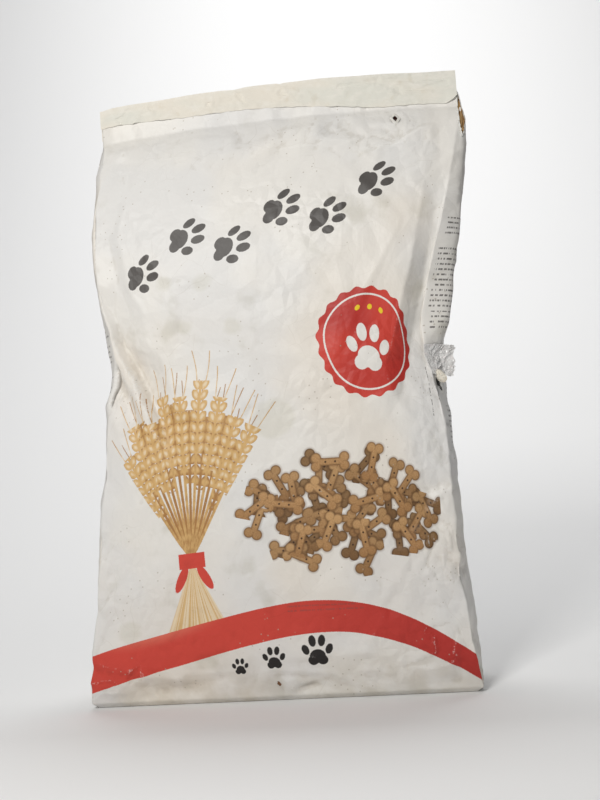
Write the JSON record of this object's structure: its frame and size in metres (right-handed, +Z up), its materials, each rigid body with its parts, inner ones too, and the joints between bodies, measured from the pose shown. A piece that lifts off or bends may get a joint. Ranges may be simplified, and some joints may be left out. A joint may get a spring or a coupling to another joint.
{
  "type": "pet food bag",
  "caption": "Filled gusseted paper sack with a block bottom, a paper closing strip folded over its top seam and a split top corner.",
  "frame": {"origin": "centre of the flat base that the sack stands on", "axes": "+Z up from the base to the top seam, printed front panel faces -Y, +X to the right of somebody who looks at the front"},
  "size_m": [0.4119, 0.1462, 0.6332],
  "materials": {
    "printed_paper": null,
    "kraft_paper": "raw brown kraft, matt and fibrous",
    "tape_paper": "matt cream paper strip with fine creases",
    "clear_film": "crumpled glossy sticky film, milky where it is folded"
  },
  "bodies": {
    "root": {"sack": "printed_paper", "kraft_ply": "kraft_paper", "closing_tape": "tape_paper", "film_patch": "clear_film"}
  },
  "joints": []
}
